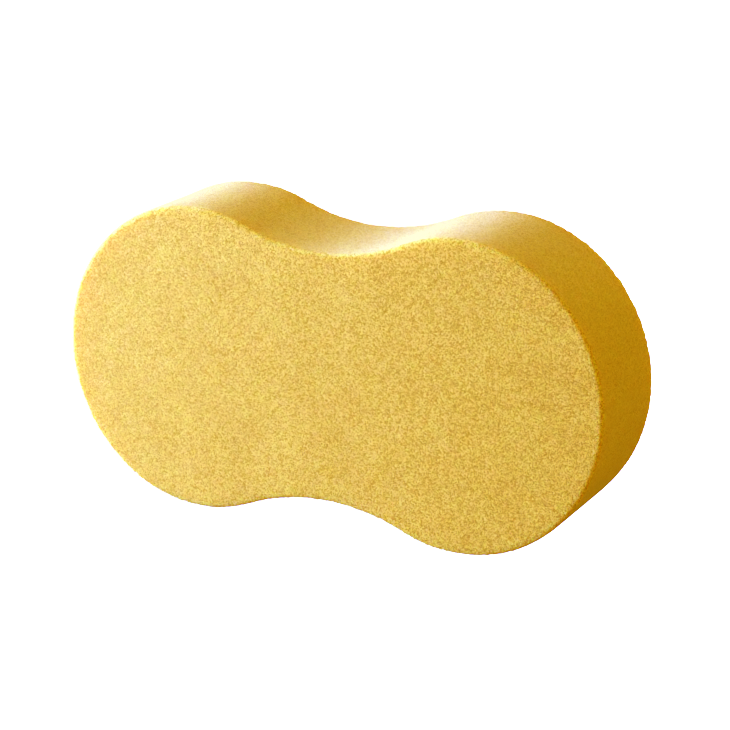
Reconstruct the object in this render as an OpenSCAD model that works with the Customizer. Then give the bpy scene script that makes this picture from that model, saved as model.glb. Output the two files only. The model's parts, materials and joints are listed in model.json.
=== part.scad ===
// A peanut-shaped cleaning sponge, cut in one piece from a block of open-cell foam.
// It stands on the lowest lines of its two lobes, with its length along X, its
// thickness along Y and its height along Z. The origin is on the surface that it
// stands on, under the middle of the waist.
//
// The outline is made of eight arcs that run smoothly into each other: one flatter
// arc across each end, four tighter shoulders and two hollow arcs at the waist.
// The same arcs, with their radii changed, give the outline at any distance behind
// the rim, so the rounded edges follow the outline all the way round.

/* [Overall size] */
// Length from end to end
sponge_length = 230; // [190:1:300]
// Height of the lobes
lobe_height = 122.4; // [106:0.2:150]
// Thickness of the foam between its two flat faces
foam_thickness = 49; // [20:0.5:90]

/* [Outline] */
// Height left at the narrowest place of the waist
waist_height = 98.8; // [80:0.2:114]
// Distance of each shoulder's centre above or below the middle line
shoulder_rise = 4.6; // [1:0.2:12]
// Angle, from the middle line, at which an end arc gives way to a shoulder
end_half_angle = 45; // [25:1:65]

/* [Cut edges] */
// Radius that the blade and handling leave on the edges of the flat faces
edge_radius = 1.2; // [0.4:0.1:6]

/* [Hidden] */

foam_colour = [0.89, 0.74, 0.26];

// The lobes: end arcs with their centres on the middle line, shoulders off it
shoulder_radius = lobe_height / 2 - shoulder_rise;
end_radius = shoulder_radius + shoulder_rise / sin(end_half_angle);
end_x = sponge_length / 2 - end_radius;
shoulder_x = end_x + shoulder_rise / tan(end_half_angle);

// The waist arcs: they touch the shoulders and leave waist_height between them
waist_drop = waist_height / 2 - shoulder_rise;
waist_radius = (shoulder_x ^ 2 + waist_drop ^ 2 - shoulder_radius ^ 2)
    / (2 * (shoulder_radius - waist_drop));
waist_y = waist_height / 2 + waist_radius;
waist_half_angle = atan2(shoulder_x, waist_y - shoulder_rise);

// Steps along a quarter of the outline, arc by arc, and round one edge
end_steps = 14;
shoulder_steps = 20;
waist_steps = 10;
edge_steps = 3;

// Points along an arc, without its last one
function arc(centre, radius, from, to, steps) = [
    for (i = [0 : steps - 1])
        let (angle = from + (to - from) * i / steps)
            centre + radius * [cos(angle), sin(angle)]
];

function reversed(points) = [for (i = [len(points) - 1 : -1 : 0]) points[i]];

// A quarter of the outline, from the end to just short of the middle of the waist,
// at the distance inset behind the rim
function quarter(inset) = concat(
    arc([end_x, 0], end_radius - inset, 0, end_half_angle, end_steps),
    arc([shoulder_x, shoulder_rise], shoulder_radius - inset,
        end_half_angle, 90 + waist_half_angle, shoulder_steps),
    arc([0, waist_y], waist_radius + inset, waist_half_angle - 90, -90, waist_steps)
);

// The upper side of the outline, from one end to the other
function upper_side(inset) =
    let (right = quarter(inset))
        concat(right, [[0, waist_height / 2 - inset]], [for (p = reversed(right)) [-p.x, p.y]]);

// The whole outline: the upper side, then the lower side back to the start
function outline(inset) =
    let (upper = upper_side(inset), last = len(upper) - 1)
        concat(upper, [for (i = [last - 1 : -1 : 1]) [upper[i].x, -upper[i].y]]);

// The section of the rim, from the front face to the back face: each pair is the
// distance behind the rim and the depth from the middle of the foam
front_edge = [
    for (i = [0 : edge_steps])
        let (angle = 90 * i / edge_steps)
            [edge_radius * (1 - sin(angle)), edge_radius * (1 - cos(angle)) - foam_thickness / 2]
];
rim_section = concat(front_edge, [for (p = reversed(front_edge)) [p.x, -p.y]]);

// The foam: the rim's section carried round the outline and closed by two flat faces
module foam_body() {
    rings = len(rim_section);
    around = len(outline(0));
    half_way = around / 2;
    points = [
        for (place = rim_section)
            for (p = outline(place.x))
                [p.x, place.y, p.y + lobe_height / 2]
    ];
    rim = [
        for (ring = [0 : rings - 2])
            for (i = [0 : around - 1])
                let (near = ring * around, far = near + around, next = (i + 1) % around)
                    [near + i, far + i, far + next, near + next]
    ];
    // A flat face is filled by strips across it, from the upper to the lower side
    strips = [
        for (i = [0 : half_way - 1])
            i == 0 ? [0, 1, around - 1]
            : i == half_way - 1 ? [i, i + 1, i + 2]
            : [i, i + 1, around - i - 1, around - i]
    ];
    back = (rings - 1) * around;
    back_strips = [for (strip = strips) [for (i = reversed(strip)) back + i]];
    color(foam_colour)
        polyhedron(points, concat(rim, strips, back_strips), convexity = 4);
}

foam_body();
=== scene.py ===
"""A peanut-shaped cleaning sponge of yellow open-cell foam, standing on its two lobes.

Everything is in metres: X along the length, Y through the thickness, Z up.
"""
import json
import math

import bpy
from mathutils import Matrix, Vector

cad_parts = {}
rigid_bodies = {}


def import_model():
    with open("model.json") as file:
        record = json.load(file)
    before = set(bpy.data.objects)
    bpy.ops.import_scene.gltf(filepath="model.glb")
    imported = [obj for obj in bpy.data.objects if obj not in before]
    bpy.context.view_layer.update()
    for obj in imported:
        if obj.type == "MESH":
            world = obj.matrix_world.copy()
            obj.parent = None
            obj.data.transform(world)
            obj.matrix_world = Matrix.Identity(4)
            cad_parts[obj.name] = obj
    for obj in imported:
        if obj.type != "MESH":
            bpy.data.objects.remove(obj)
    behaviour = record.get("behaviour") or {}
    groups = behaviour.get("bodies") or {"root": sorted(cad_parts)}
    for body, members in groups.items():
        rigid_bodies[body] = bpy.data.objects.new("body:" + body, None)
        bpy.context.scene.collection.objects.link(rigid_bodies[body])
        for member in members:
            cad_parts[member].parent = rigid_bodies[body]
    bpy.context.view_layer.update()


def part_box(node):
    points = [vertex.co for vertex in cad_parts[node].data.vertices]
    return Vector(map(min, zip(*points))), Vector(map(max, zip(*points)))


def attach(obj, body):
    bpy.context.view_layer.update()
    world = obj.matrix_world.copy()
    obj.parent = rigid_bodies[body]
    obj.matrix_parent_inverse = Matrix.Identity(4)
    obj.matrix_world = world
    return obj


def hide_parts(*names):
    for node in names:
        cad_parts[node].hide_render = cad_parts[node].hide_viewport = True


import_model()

MM = 0.001

# The foam, from the solid that it dresses: its loose cell ends stand a little proud of the cut
PROUD = 0.4 * MM
low, high = (Vector(corner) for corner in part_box("foam_body"))
MIDDLE_HEIGHT = (low.z + high.z) / 2
HALF_LENGTH = (high.x - low.x) / 2 + PROUD
LOBE_HALF_HEIGHT = (high.z - low.z) / 2 + PROUD
HALF_THICKNESS = (high.y - low.y) / 2 + PROUD

# The outline: how far it narrows at the waist, where its arcs meet, and how finely they are drawn
WAIST_HALF_HEIGHT = 49.4 * MM + PROUD
SHOULDER_RISE = 4.6 * MM
END_HALF_ANGLE = math.radians(45)
DEGREES_PER_STEP = 1.2
JOIN_DISTANCE = 0.02 * MM

# The two edges round the faces: just broken, with steps across them
EDGE_RADIUS = 0.6 * MM
EDGE_STEPS = 4
SHARP_ANGLE = math.radians(60)

# The even mesh that carries the roughness. It is made at a slant, because rows of it that ran
# along a flat rim would show there
MESH_SPACING = 0.96 * MM
MESH_SLANT = math.radians(33)

# The torn edges: how far they reach back from a face, and how squarely a surface has to look out
# to be the face and not its edge
FRINGE = 1.5 * MM
SQUARE_ON = 0.95

# The cells, with walls as wide as a share of a cell, the finer grain of their struts, and how
# much each tells in the relief
CELL = 0.5 * MM
GRAIN = 0.2 * MM
WALL_WIDTH = 0.25
WALL_SHARE = 0.40
PIT_SHARE = 0.35
GRAIN_SHARE = 0.40
MEAN_RELIEF = 0.53
CELL_DEPTH = 0.5 * MM
CELL_STRENGTH = 0.6

# How strongly the painted pit shade in the cells tells: on the rim, and what a face adds to it from
# the left end, where the lamps fall strongest and it is weakest, to the right, and the depths
# behind a face between which the one turns into the other
RIM_CONTRAST = 1.2
FACE_CONTRAST = (0.2, 3.1)
FACE_SKIN = (1.8 * MM, 0.6 * MM)

# The foam's yellows: pale on the cell walls, and deeper in the pits, where the darker yellow is
# painted shade in the hollows; how far from the one to the other the mean relief lies, and the
# faint
# patches in them: their size, the usual range of their clouds, and how much they shade
WALL_YELLOW = (1.0, 0.78, 0.22, 1)
PIT_SHADE_YELLOW = (0.50, 0.39, 0.06, 1)
MEAN_TINT = 0.5
PATCH = 14 * MM
PATCH_CLOUDS = (0.3, 0.7)
PATCH_SHADES = (0.98, 1.02)

# Finishes: matt foam with a soft sheen, lit through from within, and a matt pale floor
FOAM_FINISH = {
    "Roughness": 0.75,
    "Specular IOR Level": 0.4,
    "Sheen Weight": 0.35,
    "Sheen Roughness": 0.4,
    "Sheen Tint": (1.0, 0.93, 0.55, 1),
    "Subsurface Weight": 1.0,
    "Subsurface Scale": 8 * MM,
    "Subsurface Radius": (1.0, 0.5, 0.15),
}
FLOOR_FINISH = {
    "Base Color": (0.93, 0.93, 0.93, 1),
    "Roughness": 0.9,
    "Specular IOR Level": 0.1,
}
FLOOR_SIZE = 8

# The lamps: the name, place, width, power in watts and colour of each
WHITE = (1.0, 1.0, 1.0)
SOFT_WHITE = (1.0, 0.98, 0.86)
WARM = (1.0, 0.93, 0.17)
SPONGE_LAMPS = (
    ("side_light", (-1.3, -0.5, 0.15), 0.4, 10.5, WHITE),
    ("front_light", (-0.8, -0.68, 0.35), 0.35, 19.5, WHITE),
    ("top_light", (-0.5, 0.7, 1.2), 0.5, 8, SOFT_WHITE),
    ("waist_light", (-1.55, 0.1, 0.42), 0.3, 16, WHITE),
    ("crown_light", (0.5, 0.5, 1.4), 0.6, 2, WHITE),
    ("warm_light", (1.2, 1.1, 0.8), 1.0, 13.5, WARM),
    ("edge_light", (-0.35, 1.7, 0.15), 0.5, 22, WHITE),
)
FLOOR_FILL = ("floor_fill", (0.0, 0.0, 2.2), 4.0, 400, WHITE)
FLOOR_LIGHT = ("floor_light", (0.0, 0.0, 2.2), 4.0, 30, WHITE)
ROOM_STRENGTH = 0.73

# The film: the light that it shows as white, and its gain, power and ceiling for red, green and
# blue. A ceiling under 1 keeps the brightest foam from going white
BRIGHTEST = 1.7
FILM = ((0.60, 1.005, 1.0), (0.52, 1.60, 1.0), (7.2, 2.53, 0.6))
FILM_STEPS = 16

# The photograph's camera: its angles, how far it stands off and to the side, and its lens
AZIMUTH = math.radians(27.64)
ELEVATION = math.radians(17.42)
ROLL = math.radians(0.36)
DISTANCE = 913 * MM
ASIDE = 4.98 * MM
LOWERED = 1.24 * MM
SENSOR_WIDTH = 36
FOCAL_LENGTH_PX = 2334
IMAGE_WIDTH_PX = 730


def deselect_all():
    if bpy.context.object and bpy.context.object.mode != "OBJECT":
        bpy.ops.object.mode_set(mode="OBJECT")
    bpy.ops.object.select_all(action="DESELECT")


def make_active(piece):
    deselect_all()
    piece.select_set(True)
    bpy.context.view_layer.objects.active = piece


def select_vertices(piece, wanted):
    """Selects, in edit mode, the vertices for which wanted(vertex) holds."""
    make_active(piece)
    bpy.ops.object.mode_set(mode="EDIT")
    bpy.ops.mesh.select_mode(type="VERT")
    bpy.ops.mesh.select_all(action="DESELECT")
    bpy.ops.object.mode_set(mode="OBJECT")
    for vertex in piece.data.vertices:
        vertex.select = wanted(vertex)
    bpy.ops.object.mode_set(mode="EDIT")


def apply_modifier(piece, kind, **settings):
    make_active(piece)
    modifier = piece.modifiers.new(kind.title(), kind)
    for name, value in settings.items():
        setattr(modifier, name, value)
    bpy.ops.object.modifier_apply(modifier=modifier.name)


# The shape of the foam

def outline_arcs():
    """Each arc of a quarter of the outline, from the end to the waist: its centre and its angle."""
    shoulder_radius = LOBE_HALF_HEIGHT - SHOULDER_RISE
    end_radius = shoulder_radius + SHOULDER_RISE / math.sin(END_HALF_ANGLE)
    end_x = HALF_LENGTH - end_radius
    shoulder_x = end_x + SHOULDER_RISE / math.tan(END_HALF_ANGLE)
    drop = WAIST_HALF_HEIGHT - SHOULDER_RISE
    waist_radius = ((shoulder_x ** 2 + drop ** 2 - shoulder_radius ** 2)
                    / (2 * (shoulder_radius - drop)))
    waist_z = WAIST_HALF_HEIGHT + waist_radius
    waist_angle = math.atan2(shoulder_x, waist_z - SHOULDER_RISE)
    shoulder_angle = math.pi / 2 + waist_angle - END_HALF_ANGLE
    return [
        ((end_x, 0), END_HALF_ANGLE),
        ((shoulder_x, SHOULDER_RISE), shoulder_angle),
        ((0, waist_z), -waist_angle),
    ]


def draw_quarter_outline():
    """Spins one point round the centre of each arc in turn, from the end to the waist."""
    deselect_all()
    bpy.ops.mesh.primitive_plane_add(size=MM, location=(0, 0, 0))
    piece = bpy.context.object
    piece.name = "foam"
    start = Vector((HALF_LENGTH, -HALF_THICKNESS, MIDDLE_HEIGHT))
    bpy.ops.object.mode_set(mode="EDIT")
    bpy.ops.mesh.select_all(action="SELECT")
    bpy.ops.mesh.merge(type="CENTER")
    bpy.ops.transform.translate(value=start)
    for (x, z), angle in outline_arcs():
        steps = round(abs(math.degrees(angle)) / DEGREES_PER_STEP)
        centre = (x, -HALF_THICKNESS, MIDDLE_HEIGHT + z)
        bpy.ops.mesh.spin(steps=steps, angle=angle, center=centre, axis=(0, 1, 0))
    bpy.ops.object.mode_set(mode="OBJECT")
    return piece


def mirror_outline(piece):
    """Closes the outline: the quarter is mirrored left and right, and about its middle height."""
    centre = bpy.data.objects.new("outline_centre", None)
    centre.location = (0, 0, MIDDLE_HEIGHT)
    bpy.context.collection.objects.link(centre)
    bpy.context.view_layer.update()
    apply_modifier(piece, "MIRROR", use_axis=(True, False, True), mirror_object=centre,
                   use_mirror_merge=True, merge_threshold=JOIN_DISTANCE)
    bpy.data.objects.remove(centre)


def cut_foam():
    """The outline, filled and pulled through the thickness, with its edges just broken."""
    piece = draw_quarter_outline()
    mirror_outline(piece)
    make_active(piece)
    bpy.ops.object.mode_set(mode="EDIT")
    bpy.ops.mesh.select_all(action="SELECT")
    bpy.ops.mesh.edge_face_add()
    bpy.ops.mesh.extrude_region_move(TRANSFORM_OT_translate={"value": (0, 2 * HALF_THICKNESS, 0)})
    bpy.ops.mesh.select_all(action="SELECT")
    bpy.ops.mesh.normals_make_consistent(inside=False)
    bpy.ops.object.mode_set(mode="OBJECT")
    apply_modifier(piece, "BEVEL", width=EDGE_RADIUS, segments=EDGE_STEPS, limit_method="ANGLE",
                   angle_limit=SHARP_ANGLE)
    return piece


def turn(piece, angle):
    """Turns the mesh about the axis through the middle of its faces."""
    turning = (Matrix.Translation((0, 0, MIDDLE_HEIGHT))
               @ Matrix.Rotation(angle, 4, "Y")
               @ Matrix.Translation((0, 0, -MIDDLE_HEIGHT)))
    piece.data.transform(turning)
    piece.data.update()


def mark_cut_edges(piece):
    """A vertex group of the two edges that run round the outline."""
    select_vertices(piece, lambda vertex: abs(vertex.co.y) > HALF_THICKNESS - FRINGE
                    and abs(vertex.normal.y) < SQUARE_ON)
    bpy.ops.mesh.select_more()
    group = piece.vertex_groups.new(name="cut_edges")
    bpy.context.scene.tool_settings.vertex_group_weight = 1.0
    bpy.ops.object.vertex_group_assign()
    bpy.ops.object.mode_set(mode="OBJECT")
    return group.name


def shift_surface(piece, name, size, depth, still_level, **settings):
    """Moves the surface by clouds of one size: out above the still level, and in below it."""
    clouds = bpy.data.textures.new(name, "CLOUDS")
    clouds.noise_scale = size
    clouds.noise_depth = depth
    apply_modifier(piece, "DISPLACE", texture=clouds, texture_coords="LOCAL",
                   mid_level=still_level, **settings)


def roughen(piece):
    """An even mesh all over, slightly wavy as cut foam is, with its edges torn by open cells."""
    turn(piece, MESH_SLANT)
    apply_modifier(piece, "REMESH", mode="VOXEL", voxel_size=MESH_SPACING, use_smooth_shade=True)
    turn(piece, -MESH_SLANT)
    cut_edges = mark_cut_edges(piece)
    shift_surface(piece, "blade_waves", size=22 * MM, depth=2, still_level=0.5,
                  direction="NORMAL", strength=0.35 * MM)
    shift_surface(piece, "tufts", size=2.2 * MM, depth=1, still_level=0.75,
                  direction="NORMAL", strength=0.12 * MM)
    shift_surface(piece, "torn_cells", size=0.37 * MM, depth=0, still_level=0.5,
                  direction="RGB_TO_XYZ", strength=0.35 * MM, vertex_group=cut_edges)


# The nodes of a material

def set_inputs(node, values):
    for name, value in values.items():
        node.inputs[name].default_value = value


def add_node(tree, kind, **values):
    node = tree.nodes.new(kind)
    for name, value in values.items():
        setattr(node, name, value)
    return node


def noise_node(tree, place, size):
    noise = add_node(tree, "ShaderNodeTexNoise")
    noise.inputs["Scale"].default_value = 1 / size
    tree.links.new(place, noise.inputs["Vector"])
    return noise.outputs["Fac"]


def split_node(tree, vector):
    parts = add_node(tree, "ShaderNodeSeparateXYZ")
    tree.links.new(vector, parts.inputs[0])
    return parts.outputs


def map_node(tree, value, from_range, to_range):
    mapped = add_node(tree, "ShaderNodeMapRange")
    mapped.inputs["From Min"].default_value, mapped.inputs["From Max"].default_value = from_range
    mapped.inputs["To Min"].default_value, mapped.inputs["To Max"].default_value = to_range
    tree.links.new(value, mapped.inputs["Value"])
    return mapped.outputs["Result"]


def math_node(tree, operation, *values):
    joined = add_node(tree, "ShaderNodeMath", operation=operation)
    for socket, value in zip(joined.inputs, values):
        if isinstance(value, (int, float)):
            socket.default_value = value
        else:
            tree.links.new(value, socket)
    return joined.outputs["Value"]


# The foam's material

def cell_relief(tree, place):
    """The open cells as heights, from 0, deep in a pit, to 1, on a wall near the surface."""
    sockets = {}
    for feature in ("DISTANCE_TO_EDGE", "F1"):
        cells = add_node(tree, "ShaderNodeTexVoronoi", feature=feature)
        cells.inputs["Scale"].default_value = 1 / CELL
        tree.links.new(place, cells.inputs["Vector"])
        sockets[feature] = cells.outputs
    from_wall = sockets["DISTANCE_TO_EDGE"]["Distance"]
    walls = map_node(tree, from_wall, (0.0, WALL_WIDTH), (1.0, 0.0))
    pits = split_node(tree, sockets["F1"]["Color"])["X"]
    grain = noise_node(tree, place, GRAIN)
    walls_part = math_node(tree, "MULTIPLY", walls, WALL_SHARE)
    pits_part = math_node(tree, "MULTIPLY", pits, PIT_SHARE)
    grain_part = math_node(tree, "MULTIPLY", grain, GRAIN_SHARE)
    together = math_node(tree, "ADD", walls_part, pits_part)
    return math_node(tree, "ADD", together, grain_part)


def pit_shade_contrast(tree, place):
    """How strongly the painted pit shade tells: less on the rim than on the faces, and least at a
    face's left end, where the lamps fall strongest.
    """
    axes = split_node(tree, place)
    off_middle = math_node(tree, "ABSOLUTE", axes["Y"])
    skin = [HALF_THICKNESS - depth for depth in FACE_SKIN]
    on_face = map_node(tree, off_middle, skin, (0.0, 1.0))
    # The painted pit shade fades towards the left end, where the lamps fall strongest
    along = map_node(tree, axes["X"], (-HALF_LENGTH, HALF_LENGTH), FACE_CONTRAST)
    face_extra = math_node(tree, "MULTIPLY", on_face, along)
    return math_node(tree, "ADD", face_extra, RIM_CONTRAST)


def foam_colour(tree, place, relief):
    """Pale cell walls round deeper yellow pits, whose darker yellow is painted shade in the
    hollows, in faint patches.
    """
    contrast = pit_shade_contrast(tree, place)
    around_mean = math_node(tree, "SUBTRACT", relief, MEAN_RELIEF)
    swing = math_node(tree, "MULTIPLY", around_mean, contrast)
    tint = add_node(tree, "ShaderNodeValToRGB")
    # The pits take the deeper yellow as painted shade in the cell hollows, and the walls stay pale
    deep, pale = tint.color_ramp.elements
    deep.color, pale.color = PIT_SHADE_YELLOW, WALL_YELLOW
    tree.links.new(math_node(tree, "ADD", swing, MEAN_TINT), tint.inputs["Fac"])
    patches = map_node(tree, noise_node(tree, place, PATCH), PATCH_CLOUDS, PATCH_SHADES)
    shade = add_node(tree, "ShaderNodeVectorMath", operation="SCALE")
    tree.links.new(tint.outputs["Color"], shade.inputs[0])
    tree.links.new(patches, shade.inputs["Scale"])
    return shade.outputs["Vector"]


def new_material(name, finish):
    material = bpy.data.materials.new(name)
    material.use_nodes = True
    set_inputs(material.node_tree.nodes["Principled BSDF"], finish)
    return material


def foam_material():
    """Yellow open-cell foam, all of it slightly see-through."""
    material = new_material("yellow_foam", FOAM_FINISH)
    tree = material.node_tree
    shader = tree.nodes["Principled BSDF"]
    place = add_node(tree, "ShaderNodeTexCoord").outputs["Object"]
    relief = cell_relief(tree, place)
    tree.links.new(foam_colour(tree, place, relief), shader.inputs["Base Color"])
    bump = add_node(tree, "ShaderNodeBump")
    set_inputs(bump, {"Distance": CELL_DEPTH, "Strength": CELL_STRENGTH})
    tree.links.new(relief, bump.inputs["Height"])
    tree.links.new(bump.outputs["Normal"], shader.inputs["Normal"])
    return material


# The studio

def lay_floor():
    deselect_all()
    bpy.ops.mesh.primitive_plane_add(size=FLOOR_SIZE, location=(0, 0, 0))
    floor = bpy.context.object
    floor.name = "floor"
    floor.data.materials.append(new_material("pale_floor", FLOOR_FINISH))
    floor.visible_diffuse = False
    floor.visible_glossy = False
    return floor


def add_soft_light(name, place, size, power, colour, lit, blockers=None):
    """A round lamp aimed at the sponge, for the pieces in lit.

    Only the pieces in blockers shade it, or all pieces where no blockers are given.
    """
    light = bpy.data.lights.new(name, "AREA")
    light.shape = "DISK"
    light.size = size
    light.energy = power
    light.color = colour
    lamp = bpy.data.objects.new(name, light)
    lamp.location = place
    aim = Vector((0, 0, MIDDLE_HEIGHT))
    lamp.rotation_euler = (aim - Vector(place)).to_track_quat("-Z", "Y").to_euler()
    lamp.light_linking.receiver_collection = lit
    lamp.light_linking.blocker_collection = blockers
    bpy.context.collection.objects.link(lamp)


def light_world():
    """A dim warm room, which the camera sees as white."""
    world = bpy.data.worlds.new("studio")
    world.use_nodes = True
    tree = world.node_tree
    room = tree.nodes["Background"]
    set_inputs(room, {"Color": (*WARM, 1), "Strength": ROOM_STRENGTH})
    backdrop = add_node(tree, "ShaderNodeBackground")
    set_inputs(backdrop, {"Color": (*WHITE, 1), "Strength": BRIGHTEST})
    ray = add_node(tree, "ShaderNodeLightPath")
    mix = add_node(tree, "ShaderNodeMixShader")
    tree.links.new(ray.outputs["Is Camera Ray"], mix.inputs["Fac"])
    tree.links.new(room.outputs["Background"], mix.inputs[1])
    tree.links.new(backdrop.outputs["Background"], mix.inputs[2])
    tree.links.new(mix.outputs["Shader"], tree.nodes["World Output"].inputs["Surface"])
    bpy.context.scene.world = world


def light_studio(sponge_set, floor_set):
    """The room, the sponge's lamps, and two for the floor: the sponge shades only the second."""
    light_world()
    for lamp in SPONGE_LAMPS:
        add_soft_light(*lamp, sponge_set)
    add_soft_light(*FLOOR_FILL, floor_set, floor_set)
    add_soft_light(*FLOOR_LIGHT, floor_set)


def set_film():
    """The photograph's contrast: shade turns deeper and more orange than the light on the foam.

    The points of each curve lie closer together towards the dark, where it bends most.
    """
    view = bpy.context.scene.view_settings
    view.view_transform = "Standard"
    view.use_curve_mapping = True
    mapping = view.curve_mapping
    mapping.white_level = (BRIGHTEST, BRIGHTEST, BRIGHTEST)
    for curve, (gain, power, ceiling) in zip(mapping.curves, FILM):
        for step in range(1, FILM_STEPS):
            share = (step / FILM_STEPS) ** 2
            most = ceiling + (1 - ceiling) * share
            curve.points.new(share, min(most, gain * (share * BRIGHTEST) ** power))
        for point in curve.points:
            point.handle_type = "VECTOR"
    mapping.update()


def collection_of(name, piece):
    group = bpy.data.collections.new(name)
    group.objects.link(piece)
    return group


def place_camera():
    """The photograph's camera, turned about its line of sight by the roll of the horizon."""
    back = Vector((math.sin(AZIMUTH) * math.cos(ELEVATION),
                   -math.cos(AZIMUTH) * math.cos(ELEVATION), math.sin(ELEVATION)))
    right = Vector((math.cos(AZIMUTH), math.sin(AZIMUTH), 0))
    up = back.cross(right)
    place = Vector((0, 0, MIDDLE_HEIGHT)) + DISTANCE * back + ASIDE * right - LOWERED * up
    across = math.cos(ROLL) * right - math.sin(ROLL) * up
    upwards = math.sin(ROLL) * right + math.cos(ROLL) * up
    turning = Matrix((across, upwards, back)).transposed().to_4x4()
    camera = bpy.data.cameras.new("camera")
    camera.sensor_width = SENSOR_WIDTH
    camera.lens = SENSOR_WIDTH * FOCAL_LENGTH_PX / IMAGE_WIDTH_PX
    rig = bpy.data.objects.new("camera", camera)
    rig.matrix_world = Matrix.Translation(place) @ turning
    bpy.context.collection.objects.link(rig)
    bpy.context.scene.camera = rig


place_camera()
floor = lay_floor()
set_film()

foam = cut_foam()
roughen(foam)
foam.data.materials.append(foam_material())
light_studio(collection_of("sponge_set", foam), collection_of("floor_set", floor))
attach(foam, "root")
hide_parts("foam_body")
